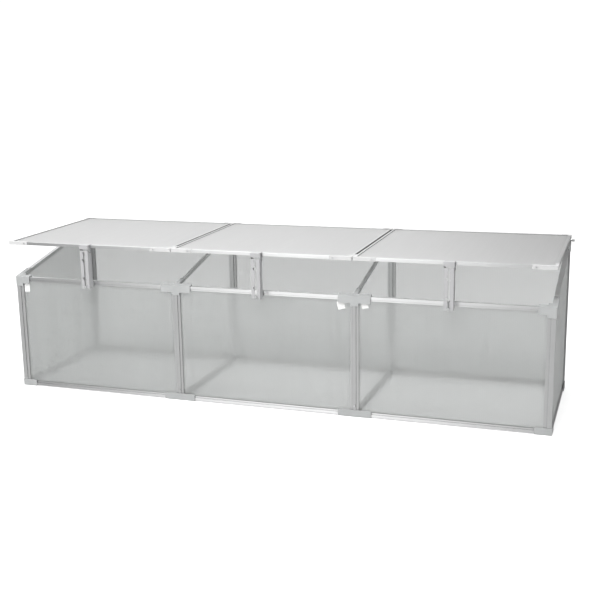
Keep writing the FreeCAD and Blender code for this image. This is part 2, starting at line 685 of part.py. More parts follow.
def tilted(shape):
    """Turns a part of a level lid to the propped lid's slope."""
    turned = shape.copy()
    turned.rotate(Vec(0, HINGE_Y, HINGE_Z), Vec(1, 0, 0), REST_TILT)
    return turned


def lid_x(bay):
    return bay * LID_PITCH


def lid_front_rail(bay):
    x0, x1 = lid_x(bay) - LID_WIDTH / 2, lid_x(bay) + LID_WIDTH / 2
    back = LID_FRONT - LID_FRONT_RAIL
    outer = lid_box(x0, x1, back, LID_FRONT, LID_BOTTOM, LID_TOP)
    slot = lid_box(x0, x1, back, LID_FRONT - LID_LIP, LID_BOX_TOP, LID_SLOT_TOP)
    hollow = lid_box(x0, x1, back + WALL, LID_FRONT - WALL, LID_BOTTOM + WALL, LID_BOX_TOP - WALL)
    return tilted(outer.cut(slot).cut(hollow))


def lid_rear_rail(bay):
    x0, x1 = lid_x(bay) - LID_WIDTH / 2, lid_x(bay) + LID_WIDTH / 2
    front = LID_REAR + LID_REAR_RAIL
    outer = lid_box(x0, x1, LID_REAR, front, LID_BOTTOM, LID_TOP)
    slot = lid_box(x0, x1, LID_REAR + REAR_SLOT_IN, front, LID_BOX_TOP, LID_SLOT_TOP)
    hollow = lid_box(x0, x1, LID_REAR + WALL, front - WALL, LID_BOTTOM + WALL, LID_BOX_TOP - WALL)
    rail = outer.cut(slot).cut(hollow)
    tube_low, tube_high = bay_span(bay, *TUBE_END)
    start = Vec(tube_low, HINGE_Y, HINGE_Z)
    tube = cylinder(start, Vec(1, 0, 0), tube_high - tube_low, TUBE_R)
    web = lid_box(tube_low, tube_high, -WEB_HALF, WEB_HALF, WEB_LOW, LID_BOTTOM + WALL / 2)
    return tilted(joined([rail, tube, web]).cut(rod_bore()))


def lid_side_rail(bay, side):
    outer_x = lid_x(bay) + side * LID_WIDTH / 2
    inner_x = outer_x - side * LID_SIDE_RAIL
    y = (LID_REAR + LID_REAR_RAIL + GAP, LID_FRONT - LID_FRONT_RAIL - GAP)
    outer = lid_box(inner_x, outer_x, *y, LID_BOTTOM, LID_TOP)
    slot = lid_box(inner_x, outer_x - side * LID_LIP, *y, LID_BOX_TOP, LID_SLOT_TOP)
    low, high = LID_BOTTOM + WALL, LID_BOX_TOP - WALL
    hollow = lid_box(inner_x + side * WALL, outer_x - side * WALL, *y, low, high)
    return tilted(outer.cut(slot).cut(hollow))


def lid_sheet(bay):
    width = LID_WIDTH - 2 * (LID_LIP + 1)
    rear, front = LID_REAR + REAR_SLOT_IN + 1, LID_FRONT - LID_LIP - 1
    sheet = twin_wall(width, front - rear)
    sheet.rotate(Vec(0, 0, 0), Vec(1, 0, 0), 90)
    sheet.translate(Vec(lid_x(bay), HINGE_Y - rear, HINGE_Z + LID_SHEET_BOTTOM))
    return tilted(sheet)


def lid_room(bay, play, depth_below):
    """The room that a lid's rails take up, for the caps that wrap them."""
    half = LID_WIDTH / 2 + play
    x0, x1 = lid_x(bay) - half, lid_x(bay) + half
    low = LID_BOTTOM - play - depth_below
    return lid_box(x0, x1, LID_REAR - play, LID_FRONT + play, low, LID_TOP + play)


def front_cap(bay, side):
    """A moulded corner that wraps the front rail's end and the side rail's."""
    outer = CAP_WALL + GAP
    edge = lid_x(bay) + side * (LID_WIDTH / 2 + outer)
    above = (LID_BOTTOM - CAP_WALL, LID_TOP + CAP_WALL)
    front = LID_FRONT + outer
    along = lid_box(edge - side * FRONT_CAP_LENGTH, edge, LID_FRONT - CAP_ARM, front, *above)
    back = lid_box(edge - side * CAP_ARM, edge, LID_FRONT - FRONT_CAP_SIDE, front, *above)
    block = rounded_upright(joined([along, back]), edge, HINGE_Y - front, UPRIGHT_ROUND)
    ring_x = edge - side * (FRONT_CAP_LENGTH - RING_IN)
    ring_at = Vec(ring_x, HINGE_Y - LID_FRONT, HINGE_Z + RING_ABOVE)
    forward = Vec(0, -1, 0)
    ring = cylinder(ring_at, forward, outer + RING_HEIGHT, RING_R)
    cap = joined([block, ring]).cut(lid_room(bay, GAP, 0))
    return tilted(cap.cut(cylinder(ring_at, forward, outer + RING_HEIGHT + 1, RING_BORE_R)))


def rear_cap(bay, side):
    """A rear corner, open below so that it clears the hinge."""
    outer = CAP_WALL + GAP
    edge = lid_x(bay) + side * (LID_WIDTH / 2 + outer)
    above = (LID_BOTTOM + REAR_CAP_LIFT, LID_TOP + CAP_WALL)
    rear = LID_REAR - outer
    along = lid_box(edge - side * REAR_CAP_LENGTH, edge, rear, LID_REAR + REAR_CAP_ARM, *above)
    back = lid_box(edge - side * CAP_ARM, edge, rear, LID_REAR + REAR_CAP_SIDE, *above)
    block = rounded_upright(joined([along, back]), edge, HINGE_Y - rear, UPRIGHT_ROUND)
    return tilted(block.cut(lid_room(bay, GAP, 5)))


# ---- stays ----

def stay_x(bay):
    return lid_x(bay) + STAY_SHIFT


def turned_point(forward, above):
    """(y, z) of a point of the lid, once the lid has its propped slope."""
    angle = math.radians(REST_TILT)
    y = HINGE_Y - forward * math.cos(angle) - above * math.sin(angle)
    z = HINGE_Z - forward * math.sin(angle) + above * math.cos(angle)
    return y, z


def pivot_bore(bay, radius):
    y, z = turned_point(PIVOT_FORWARD, PIVOT_ABOVE)
    return cylinder(Vec(stay_x(bay) - 30, y, z), Vec(1, 0, 0), 60, radius)


def stay_bracket(bay):
    """The clip around a lid's front rail, with the two ears that the stay hangs between."""
    x = stay_x(bay)
    half = BRACKET_HALF
    span = (x - half, x + half)
    face = LID_FRONT + BRACKET_REACH
    grip = LID_FRONT - BRACKET_GRIP
    hug = LID_FRONT + GAP
    top = LID_TOP + GAP
    under = LID_BOTTOM - GAP
    parts = [
        lid_box(*span, grip, face, top, top + BAR_SHEET),
        lid_box(*span, hug, hug + BAR_SHEET, under - BAR_SHEET, top + BAR_SHEET),
        lid_box(*span, face - BAR_SHEET, face, BRACKET_LOW, top + BAR_SHEET),
        lid_box(*span, grip, hug + BAR_SHEET, under - BAR_SHEET, under),
    ]
    outline = [
        (hug, top + BAR_SHEET),
        (face, top + BAR_SHEET),
        (face, BRACKET_LOW),
        (PIVOT_FORWARD + EAR_HALF, PIVOT_ABOVE - EAR_BELOW),
        (PIVOT_FORWARD, PIVOT_ABOVE - EAR_BELOW),
        (PIVOT_FORWARD - EAR_HALF, PIVOT_ABOVE + EAR_REAR_ABOVE),
        (grip, under - BAR_SHEET),
        (grip, under),
        (hug, under),
    ]
    points = [(HINGE_Y - forward, HINGE_Z + above) for forward, above in outline]
    for side in (LEFT, RIGHT):
        x0, x1 = x + side * (half - BAR_SHEET), x + side * half
        parts.append(prism_x(points, x0, x1))
        eye = Vec(x0, HINGE_Y - PIVOT_FORWARD, HINGE_Z + PIVOT_ABOVE)
        parts.append(cylinder(eye, Vec(side, 0, 0), BAR_SHEET, EYE_R))
    return tilted(joined(parts)).cut(pivot_bore(bay, RIVET_R + RIVET_PLAY))


def flange(x0, x1):
    """A side of the stay's channel, rounded at the top around its pivot."""
    y, z = turned_point(PIVOT_FORWARD, PIVOT_ABOVE)
    corner = math.sqrt(0.5) * BAR_ROUND
    top = z + BAR_TOP_ABOVE_PIVOT
    arc = Part.Arc(
        Vec(x0, y + BAR_ROUND, z), Vec(x0, y + corner, z + corner), Vec(x0, y, z + BAR_ROUND)
    ).toShape()
    path = [
        Vec(x0, y, z + BAR_ROUND),
        Vec(x0, BAR_FACE_Y, top),
        Vec(x0, BAR_FACE_Y, BAR_BOTTOM_Z),
        Vec(x0, y + BAR_ROUND - FLANGE_TAPER[0], BAR_BOTTOM_Z),
        Vec(x0, y + BAR_ROUND, BAR_BOTTOM_Z + FLANGE_TAPER[1]),
        Vec(x0, y + BAR_ROUND, z),
    ]
    edges = [Part.makeLine(a, b) for a, b in zip(path, path[1:])]
    return Part.Face(Part.Wire(edges + [arc])).extrude(Vec(x1 - x0, 0, 0))


def keyhole(x, z):
    """A round opening in the stay's slot, with a notch that goes up to the left."""
    start = BAR_FACE_Y - PUNCH / 2
    back = Vec(0, 1, 0)
    hole = cylinder(Vec(x, start, z), back, PUNCH, KEYHOLE_R)
    end = cylinder(Vec(x - NOTCH, start, z + NOTCH), back, PUNCH, SLOT_HALF)
    length = NOTCH * math.sqrt(2)
    neck = box(-length, 0, 0, PUNCH, -SLOT_HALF, SLOT_HALF)
    neck.rotate(Vec(0, 0, 0), Vec(0, 1, 0), 45)
    neck.translate(Vec(x, start, z))
    return [hole, end, neck]


def stay_bar(bay):
    """A punched channel. Its slot is open at the bottom, so it can leave the peg."""
    x = stay_x(bay)
    top = turned_point(PIVOT_FORWARD, PIVOT_ABOVE)[1] + BAR_TOP_ABOVE_PIVOT
    inner = BAR_HALF - BAR_SHEET
    face = box(x - BAR_HALF, x + BAR_HALF, BAR_FACE_Y, BAR_FACE_Y + BAR_SHEET, BAR_BOTTOM_Z, top)
    sides = [flange(x + side * inner, x + side * BAR_HALF) for side in (LEFT, RIGHT)]
    bar = joined([face] + sides)
    start = BAR_FACE_Y - PUNCH / 2
    slot_x = (x - SLOT_HALF, x + SLOT_HALF)
    cuts = [box(*slot_x, start, start + PUNCH, BAR_BOTTOM_Z - 1, TOP_HOLE_Z)]
    cuts.append(cylinder(Vec(x, start, TOP_HOLE_Z), Vec(0, 1, 0), PUNCH, TOP_HOLE_R))
    for z in KEYHOLE_Z:
        cuts += keyhole(x, z)
    cuts.append(pivot_bore(bay, RIVET_R + RIVET_PLAY))
    return bar.cut(cuts).removeSplitter()


def stay_rivet(bay, side):
    y, z = turned_point(PIVOT_FORWARD, PIVOT_ABOVE)
    outward = Vec(side, 0, 0)
    centre = stay_x(bay)
    inside = BAR_HALF - BAR_SHEET - GAP / 3
    outside = BRACKET_HALF + GAP / 3
    start = Vec(centre + side * (inside - 1), y, z)
    tail = cylinder(start, outward, 1, RIVET_TAIL_R)
    shank = cylinder(start, outward, outside - inside + 2, RIVET_R)
    head_at = Vec(centre + side * outside, y, z)
    head = Part.makeCone(*RIVET_HEAD_R, RIVET_HEAD, head_at, outward)
    return joined([tail, shank, head])


def stay_peg(bay):
    """The moulded peg on a front top rail that a stay's slot runs over."""
    x = stay_x(bay)
    face = -HALF_DEPTH
    forward = Vec(0, -1, 0)
    centre = Vec(x, face, PEG_STUD_Z)
    base_z = (PEG_STUD_Z - PEG_BASE_BELOW, FRONT_RAIL_TOP - 0.5)
    base = box(x - PEG_BASE_HALF, x + PEG_BASE_HALF, face - PEG_BASE, face, *base_z)
    boss_length = face - PEG_BOSS_END_Y
    boss = Part.makeCone(PEG_BOSS_R + PEG_BOSS_SPREAD, PEG_BOSS_R, boss_length, centre, forward)
    neck = cylinder(centre, forward, face - PEG_HEAD_Y + 0.5, PEG_NECK_R)
    head = cylinder(Vec(x, PEG_HEAD_Y, PEG_STUD_Z), forward, PEG_HEAD, PEG_HEAD_R)
    head = rounded_rim(head, "y", PEG_HEAD_Y - PEG_HEAD, RIM_ROUND)
    stem = cylinder(Vec(x, face + 3, PEG_STEM_Z), forward, 4, PEG_STEM_R)
    return joined([base, boss, neck, head, stem])


# ---- assembly: node name to the solids it holds ----

def frame_nodes():
    ends = (LEFT, RIGHT)
    partitions = (-PARTITION_X, PARTITION_X)
    nodes = {}
    for name, bay in BAYS.items():
        nodes["front_base_rail_" + name] = [bay_rail(bay, FRONT, FLOOR_GAP, 1)]
        nodes["front_top_rail_" + name] = [front_top_rail(bay)]
        nodes["front_panel_" + name] = [wall_sheet(bay, FRONT)]
    bays = BAYS.values()
    nodes["rear_base_rails"] = [bay_rail(bay, REAR, FLOOR_GAP, 1) for bay in bays]
    nodes["rear_top_rails"] = [bay_rail(bay, REAR, REAR_RAIL_TOP, -1) for bay in bays]
    nodes["rear_panels"] = [wall_sheet(bay, REAR) for bay in bays]
    for name, side in (("left", LEFT), ("right", RIGHT)):
        nodes["side_base_rail_" + name] = [side_base_rail(side)]
        nodes["side_top_rail_" + name] = [side_top_rail(side)]
        nodes["side_panel_" + name] = [side_sheet(side)]
        nodes["front_corner_post_" + name] = [corner_post(side, FRONT)]
        nodes["rear_corner_post_" + name] = [corner_post(side, REAR)]
    nodes["front_middle_posts"] = [middle_post(x, FRONT) for x in partitions]
    nodes["rear_middle_posts"] = [middle_post(x, REAR) for x in partitions]
    nodes["cross_base_rails"] = [cross_base_rail(x) for x in partitions]
    nodes["cross_top_rails"] = [cross_top_rail(x) for x in partitions]
    nodes["corner_feet"] = [corner_foot(side, wall) for side in ends for wall in (FRONT, REAR)]
    nodes["middle_feet"] = [middle_foot(x, wall) for x in partitions for wall in (FRONT, REAR)]
    nodes["front_corner_joiners"] = [corner_joiner(side, FRONT) for side in ends]
    nodes["rear_corner_joiners"] = [corner_joiner(side, REAR) for side in ends]
    nodes["front_tee_joiners"] = [tee_joiner(x, FRONT) for x in partitions]
    nodes["rear_tee_joiners"] = [tee_joiner(x, REAR) for x in partitions]
    nodes["frame_screws"] = frame_screws(ends, partitions)
    nodes["hinge_rods"] = [hinge_rod(bay) for bay in bays]
    nodes["hinge_rod_caps"] = [rod_cap(side) for side in ends]
    nodes["stay_pegs"] = [stay_peg(bay) for bay in bays]
    return nodes


def frame_screws(ends, partitions):
    screws = []
    for wall in (FRONT, REAR):
        for side in ends:
            screws.append(ear_screw(side * (HALF_WIDTH - RAIL_DEPTH / 2), wall, EAR, CORE))
        for x in partitions:
            screws.append(ear_screw(x, wall, TEE_EAR, MIDDLE_CORE_IN))
            screws.append(post_screw(x, wall))
    return screws


def lid_nodes(name, bay):
    ends = (LEFT, RIGHT)
    lid = "lid_" + name
    stay = "stay_" + name
    return {
        lid + "_front_rail": [lid_front_rail(bay)],
        lid + "_rear_rail": [lid_rear_rail(bay)],
        lid + "_side_rails": [lid_side_rail(bay, side) for side in ends],
        lid + "_panel": [lid_sheet(bay)],
        lid + "_corner_caps": [cap(bay, side) for cap in (front_cap, rear_cap) for side in ends],
        lid + "_stay_bracket": [stay_bracket(bay)],
        stay + "_bar": [stay_bar(bay)],
        stay + "_rivets": [stay_rivet(bay, side) for side in ends],
    }


def write_node(name, solids):
    for number, shape in enumerate(solids):
        if len(shape.Solids) != 1 or not shape.isValid():
            print("check", name, number, "solids", len(shape.Solids), "valid", shape.isValid())
    single = [shape.Solids[0].copy() for shape in solids]
    for solid in single:
        solid.translate(Vec(0, ORIGIN_SHIFT_Y, 0))
    whole = single[0] if len(single) == 1 else Part.makeCompound(single)
    whole.exportStep("parts/" + name + ".step")


def main():
    os.makedirs("parts", exist_ok=True)
    nodes = frame_nodes()
    for name, bay in BAYS.items():
        nodes.update(lid_nodes(name, bay))
    for name, solids in nodes.items():
        write_node(name, solids)
    print(len(nodes), "nodes,", sum(len(solids) for solids in nodes.values()), "solids")


main()
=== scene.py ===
import math

import bmesh
import bpy
from mathutils import Matrix, Vector


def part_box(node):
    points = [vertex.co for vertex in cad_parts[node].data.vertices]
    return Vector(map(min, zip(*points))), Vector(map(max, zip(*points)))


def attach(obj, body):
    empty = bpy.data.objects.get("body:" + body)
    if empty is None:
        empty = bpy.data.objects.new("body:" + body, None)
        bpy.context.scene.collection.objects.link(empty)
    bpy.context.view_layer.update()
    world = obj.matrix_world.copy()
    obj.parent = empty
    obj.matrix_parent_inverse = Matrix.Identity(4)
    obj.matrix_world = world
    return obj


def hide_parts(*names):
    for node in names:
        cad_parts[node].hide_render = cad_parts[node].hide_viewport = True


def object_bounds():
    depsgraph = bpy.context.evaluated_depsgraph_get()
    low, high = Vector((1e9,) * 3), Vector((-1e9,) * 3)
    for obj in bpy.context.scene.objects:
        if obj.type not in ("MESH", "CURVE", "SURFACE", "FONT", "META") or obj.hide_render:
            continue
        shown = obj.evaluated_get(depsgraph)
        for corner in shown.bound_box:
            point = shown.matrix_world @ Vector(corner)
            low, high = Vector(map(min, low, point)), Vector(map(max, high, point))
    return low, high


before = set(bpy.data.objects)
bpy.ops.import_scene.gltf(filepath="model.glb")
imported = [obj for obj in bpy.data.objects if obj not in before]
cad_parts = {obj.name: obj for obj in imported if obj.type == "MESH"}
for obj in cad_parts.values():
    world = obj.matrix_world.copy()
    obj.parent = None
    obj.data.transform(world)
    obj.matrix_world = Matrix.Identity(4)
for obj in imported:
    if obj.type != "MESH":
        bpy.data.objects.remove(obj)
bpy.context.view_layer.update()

# Looks for the cold frame: extruded aluminium, fluted polycarbonate, moulded plastic, zinc-plated
# steel and blank paper labels, in a plain white studio. Metres throughout.

MM = 0.001
BAYS = ("left", "middle", "right")
ENDS = ("left", "right")
ALONG_X, ALONG_Y, ALONG_Z = (1, 0, 0), (0, 1, 0), (0, 0, 1)

# ---- view ----
CAMERA_AT = Vector((1.1076, -3.0933, 1.0490))
CAMERA_TURN = math.radians(18.93)      # to the left of straight ahead
CAMERA_DIP = math.radians(12.75)       # below level
CAMERA_ROLL = math.radians(-0.86)
LENS, SENSOR = 60.0, 36.0              # focal length and sensor width in millimetres
BOUNCES, CLEAR_BOUNCES = 40, 64        # enough to look through all the sheets

# ---- light ----
SOFTBOX_AT, SOFTBOX_AIM = Vector((-0.4, -1.5, 2.6)), Vector((-0.1, 0, 0.3))
SOFTBOX_SIZE, SOFTBOX_WATTS = (2.6, 1.2), 60
DOME_SIDE, DOME_TOP = 0.45, 0.95       # soft light on dull surfaces
DOME_RISE = 0.9                        # upward part of a direction where the top's full light starts
BACKDROP = 1.05                        # white to the camera, with a little to spare
THROUGH = 0.42                         # the backdrop seen through a sheet
SWEEP = 1.50                           # the white paper in front and behind, as metal mirrors it
ROOM = 0.28                            # the dim room to both sides of the paper
PAPER_LEFT = (-0.47, -0.41)            # where the paper fades out: sideways part of a direction
PAPER_RIGHT = (-0.25, -0.02)
PAPER_SLANT = 0.14                     # how much further left it reaches behind than in front
PAPER_TURN = (-0.3, 0.3)               # from in front to behind: its front-to-back part

# ---- floor ----
FLOOR_HALF = 12.0
FLOOR_DROP = 0.5 * MM                  # how far it lies below the feet
FLOOR_LIFT = 0.45                      # keeps the floor white to the camera
PAINTED_FLOOR_GLOW = (0.03, 0.29)              # painted light on the ground inside the frame, seen through a sheet, at the left and elsewhere
GLOW_EDGE = (-0.50, -0.30)             # where it changes: sideways part of a direction

# ---- sheets ----
FLUTE = 6 * MM                         # one flute of the twin-wall sheets
FLUTE_LINES = 0.035                    # how much milkier a sheet is along its ribs
SHEET_IOR = 1.58                       # the shine of solid polycarbonate
SCATTER = 0.4                          # share of a milky face that lets light through
NEAR = 1.2                             # a sheet looked at from nearer than this is clear
FROST_IOR = 1.055                      # a thin hollow sheet hardly bends a view
FROST_ROUGH = 0.29                     # blurs a view, and is just rough enough to stay free of grain
FROST_TINT = (0.980, 0.984, 0.982, 1)
CLEAR_TINT = (0.990, 0.992, 0.991, 1)

# ---- lids ----
LID_RAIL = 10 * MM                     # width of a lid's side rail
SEAM = 2.2 * MM                        # painted shade on both sides of the slit between two lids
SEAM_DARK = 0.04                       # what is left of the metal's brightness in it

# ---- edges ----
METAL_EDGE = 0.25 * MM
MOULDED_EDGE = 0.7 * MM
SHARP_ANGLE = math.radians(35)
FLAT_ANGLE = math.radians(1)           # faces that differ less than this are joined
SAME_POINT = 0.01 * MM

# ---- labels ----
LABEL_GAP = 0.25 * MM                  # in front of the sheet
LABEL_THICK = 0.15 * MM
LABEL_STEPS = 8                        # faces along each side
LABEL_TILT = math.radians(-14)
CURL_START, CURL = 0.55, 7.5 * MM      # where a label's corner starts to lift, and how fast

# ---- textures: the size of their features ----
DIE_LINE, SMUDGE, SCUFF = 1.2 * MM, 55 * MM, 4 * MM        # extruded metal
GRAIN, MOTTLE = 0.9 * MM, 30 * MM                          # moulded plastic
HAZE, STREAK = 350 * MM, 6 * MM                            # sheets
CLOUD, SCRATCH = 4 * MM, 0.6 * MM                          # steel
FIBRE = 0.8 * MM                                           # labels
WASH = 1500 * MM                                           # floor

# ---- colours: light and dark of each mottled pair ----
METAL = ((0.88, 0.885, 0.885), (0.81, 0.815, 0.815))
# A darker copy of the rail metal: painted shade on the posts.
SHADED_POST_METAL = ((0.83, 0.835, 0.835), (0.76, 0.765, 0.765))
# A much darker copy of the rail metal: painted shade on the rear and cross base rails.
SHADED_BASE_METAL = ((0.55, 0.55, 0.54), (0.45, 0.45, 0.44))
STAY_METAL = ((0.73, 0.73, 0.74), (0.65, 0.65, 0.66))
WALL_MILK = ((0.765, 0.775, 0.77), (0.705, 0.715, 0.71))
LID_MILK = ((0.675, 0.675, 0.675), (0.655, 0.655, 0.655))
JOINER_GREY = ((0.47, 0.48, 0.48), (0.42, 0.43, 0.43))
CAP_GREY = ((0.66, 0.66, 0.66), (0.60, 0.60, 0.60))
ZINC_GREY = ((0.80, 0.80, 0.80), (0.66, 0.66, 0.67))
ROD_GREY = ((0.68, 0.69, 0.70), (0.56, 0.57, 0.58))
LABEL_WHITE = ((0.92, 0.92, 0.91), (0.84, 0.84, 0.83))
FLOOR_WHITE = ((0.92, 0.92, 0.92), (0.90, 0.90, 0.90))


# ---- node helpers ----

class Nodes:
    """The node tree of a material or a world, with short calls to add and join nodes."""

    def __init__(self, owner, output="ShaderNodeOutputMaterial"):
        owner.use_nodes = True
        self.owner = owner
        self.tree = owner.node_tree
        self.tree.nodes.clear()
        self.output = self.add(output)

    def add(self, kind, **settings):
        node = self.tree.nodes.new(kind)
        for key, value in settings.items():
            setattr(node, key, value)
        return node

    def feed(self, inputs, values):
        """Fills inputs in order: another node's output is linked, and a value is stored."""
        for socket, value in zip(inputs, values):
            if isinstance(value, bpy.types.NodeSocket):
                self.tree.links.new(value, socket)
            else:
                socket.default_value = value

    def put(self, node, **values):
        """Fills a node's inputs by name, with _ for a space."""
        inputs = [node.inputs[key.replace("_", " ")] for key in values]
        self.feed(inputs, values.values())

    def place(self, scale=(1, 1, 1)):
        """Object coordinates, times a scale per axis."""
        coords = self.add("ShaderNodeTexCoord")
        mapping = self.add("ShaderNodeMapping")
        self.put(mapping, Vector=coords.outputs["Object"], Scale=scale)
        return mapping.outputs["Vector"]

    def parts(self, vector):
        """A vector's X, Y and Z."""
        node = self.add("ShaderNodeSeparateXYZ")
        self.feed(node.inputs, [vector])
        return node.outputs

    def noise(self, size, stretch=(1, 1, 1), detail=3.0, rough=0.5):
        """Noise whose features are about size metres across."""
        node = self.add("ShaderNodeTexNoise")
        self.put(node, Vector=self.place(stretch), Scale=1 / size, Detail=detail, Roughness=rough)
        return node.outputs["Fac"]

    def remap(self, value, low, high, start=0.3, end=0.7, curve="LINEAR"):
        """Goes from low to high as a value goes from start to end."""
        node = self.add("ShaderNodeMapRange", interpolation_type=curve)
        self.put(node, Value=value, From_Min=start, From_Max=end, To_Min=low, To_Max=high)
        return node.outputs["Result"]

    def ease(self, value, low, high, start, end):
        """The same as remap, with a soft start and end."""
        return self.remap(value, low, high, start, end, "SMOOTHSTEP")

    def math(self, operation, *values):
        node = self.add("ShaderNodeMath", operation=operation)
        self.feed(node.inputs, values)
        return node.outputs[0]

    def within(self, value, centre, reach):
        """1 where a value is no further than reach from centre, 0 elsewhere."""
        return self.math("COMPARE", value, centre, reach)

    def mix_colours(self, share, first, second, blend="MIX"):
        """The first colour where share is 0, the blend of both where it is 1."""
        node = self.add("ShaderNodeMix", data_type="RGBA", blend_type=blend)
        # Of the node's many sockets, these are the ones for a share and two colours.
        sockets = (node.inputs[0], node.inputs[6], node.inputs[7])
        self.feed(sockets, (share, first, second))
        return node.outputs[2]

    def tint(self, share, colours):
        """A pair's dark colour where share is 0, its light one where it is 1."""
        light, dark = colours
        return self.mix_colours(share, (*dark, 1), (*light, 1))

    def darken(self, colour, share):
        """A colour times a value."""
        return self.mix_colours(1.0, colour, share, "MULTIPLY")

    def bump(self, height, distance, strength):
        node = self.add("ShaderNodeBump")
        self.put(node, Height=height, Distance=distance, Strength=strength)
        return node.outputs["Normal"]

    def mix(self, share, first, second):
        """The first shader where share is 0, the second where it is 1."""
        node = self.add("ShaderNodeMixShader")
        self.feed(node.inputs, (share, first, second))
        return node.outputs[0]

    def finish(self, shader):
        """Shows a shader, and returns the material or world."""
        self.tree.links.new(shader, self.output.inputs["Surface"])
        return self.owner


def stretched(along, share):
    """A scale per axis that makes a texture's features 1 / share times as long along one."""
    return [share if part else 1.0 for part in along]


def seen_share(nodes, path):
    """1 for a ray from the camera, also after it has passed a sheet, 0 for other rays."""
    return nodes.math("MAXIMUM", path.outputs["Is Camera Ray"], path.outputs["Is Transmission Ray"])


def mirror_share(nodes, path):
    """1 for a ray that comes off a shiny surface, 0 for one that comes through a sheet."""
    return nodes.math("MULTIPLY", path.outputs["Is Glossy Ray"], path.outputs["Is Reflection Ray"])


# ---- materials ----

def painted_crevice_shade(nodes, colour, reach, depth):
    """Painted shade: darkens a colour in corners and gaps by ambient occlusion, where light doesn't
    reach.
    """
    shade = nodes.add("ShaderNodeAmbientOcclusion", samples=4)
    nodes.put(shade, Color=colour, Distance=reach)
    open_share = nodes.remap(shade.outputs["AO"], 1.0 - depth, 1.0, start=0.25, end=0.85)
    return nodes.darken(colour, open_share)


def painted_lid_seam_shade(nodes):
    """Painted shade on the lids' side rails: brightness low in the slit between two lids and along
    the seam where a lid's left rail stands above its sheet."""
    left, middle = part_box("lid_left_side_rails"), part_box("lid_middle_side_rails")
    lid_start = middle[0][0]
    pitch = lid_start - left[0][0]
    half_slit = (lid_start - left[1][0]) / 2
    slit_centre = lid_start - half_slit
    across = nodes.parts(nodes.place())["X"]
    wrapped = nodes.math("WRAP", across, slit_centre + pitch / 2, slit_centre - pitch / 2)
    slit = nodes.within(wrapped, slit_centre, half_slit + SEAM)
    between_lids = nodes.within(across, 0.0, pitch)
    slit = nodes.math("MULTIPLY", slit, between_lids)
    edge = nodes.within(wrapped, lid_start + LID_RAIL, SEAM / 2)
    return nodes.remap(nodes.math("MAXIMUM", slit, edge), 1.0, SEAM_DARK, start=0.0, end=1.0)


def aluminium(name, along, colours, reach=7 * MM, shine=0.95, brushed=0.93, seam_shade=None):
    """Mill-finish extrusion: fine die lines along its length, faint smudges, dulled patches.

    The lines spread reflections across themselves, so a rail picks up light from above and
    a post from beside it.
    """
    nodes = Nodes(bpy.data.materials.new(name))
    lines = nodes.noise(DIE_LINE, stretched(along, 0.02), detail=4.0)
    smudges = nodes.noise(SMUDGE, detail=4.0)
    scuffs = nodes.noise(SCUFF, stretched(ALONG_Y, 0.35), detail=6.0, rough=0.7)
    colour = nodes.tint(nodes.remap(smudges, 0.0, 1.0, start=0.2, end=0.8), colours)
    # Painted shade in corners and gaps.
    colour = painted_crevice_shade(nodes, colour, reach, depth=0.55)
    # Painted shade along the lid seams, where one is given.
    if seam_shade:
        colour = nodes.darken(colour, seam_shade(nodes))
    rough = nodes.remap(smudges, 0.40, 0.46, start=0.2, end=0.8)
    rough = nodes.math("ADD", rough, nodes.remap(lines, -0.04, 0.04))
    rough = nodes.math("ADD", rough, nodes.remap(scuffs, 0.0, 0.12, start=0.62, end=0.70))
    surface = nodes.add("ShaderNodeNewGeometry")
    across = nodes.add("ShaderNodeVectorMath", operation="CROSS_PRODUCT")
    nodes.feed(across.inputs, (surface.outputs["Normal"], along))
    metal = nodes.add("ShaderNodeBsdfPrincipled")
    nodes.put(metal, Base_Color=colour, Metallic=shine, Roughness=rough)
    nodes.put(metal, Normal=nodes.bump(lines, distance=0.04 * MM, strength=0.4))
    nodes.put(metal, Anisotropic=brushed, Tangent=across.outputs["Vector"])
    return nodes.finish(metal.outputs[0])


def moulded(name, colours, rough=0.5):
    """Injection-moulded plastic: spark-eroded grain, slight mottling, softly rubbed patches."""
    nodes = Nodes(bpy.data.materials.new(name))
    grain = nodes.noise(GRAIN, detail=2.0)
    mottle = nodes.noise(MOTTLE)
    colour = nodes.tint(nodes.remap(mottle, 0.0, 1.0), colours)
    # Painted shade in corners and gaps.
    colour = painted_crevice_shade(nodes, colour, reach=6 * MM, depth=0.45)
    plastic = nodes.add("ShaderNodeBsdfPrincipled")
    nodes.put(plastic, Base_Color=colour, IOR=1.5)
    nodes.put(plastic, Roughness=nodes.remap(mottle, rough - 0.07, rough + 0.07))
    nodes.put(plastic, Normal=nodes.bump(grain, distance=0.05 * MM, strength=0.45))
    return nodes.finish(plastic.outputs[0])


def flute_lines(nodes, across):
    """Swings between -1 and 1 once per flute, across a sheet."""
    turns = nodes.add("ShaderNodeVectorMath", operation="DOT_PRODUCT")
    nodes.feed(turns.inputs, (nodes.place(), [part * math.tau / FLUTE for part in across]))
    return nodes.math("SINE", turns.outputs["Value"])


def milky_face(nodes, colour):
    """A sheet's own pale surface, softly shiny, with some light scattered through."""
    haze = nodes.noise(HAZE, detail=1.0)
    skin = nodes.add("ShaderNodeBsdfPrincipled")
    nodes.put(skin, Base_Color=colour, IOR=SHEET_IOR)
    nodes.put(skin, Roughness=nodes.remap(haze, 0.30, 0.33, start=0.2, end=0.8))
    glow = nodes.add("ShaderNodeBsdfTranslucent")
    nodes.put(glow, Color=colour)
    return nodes.mix(SCATTER, skin.outputs[0], glow.outputs[0])


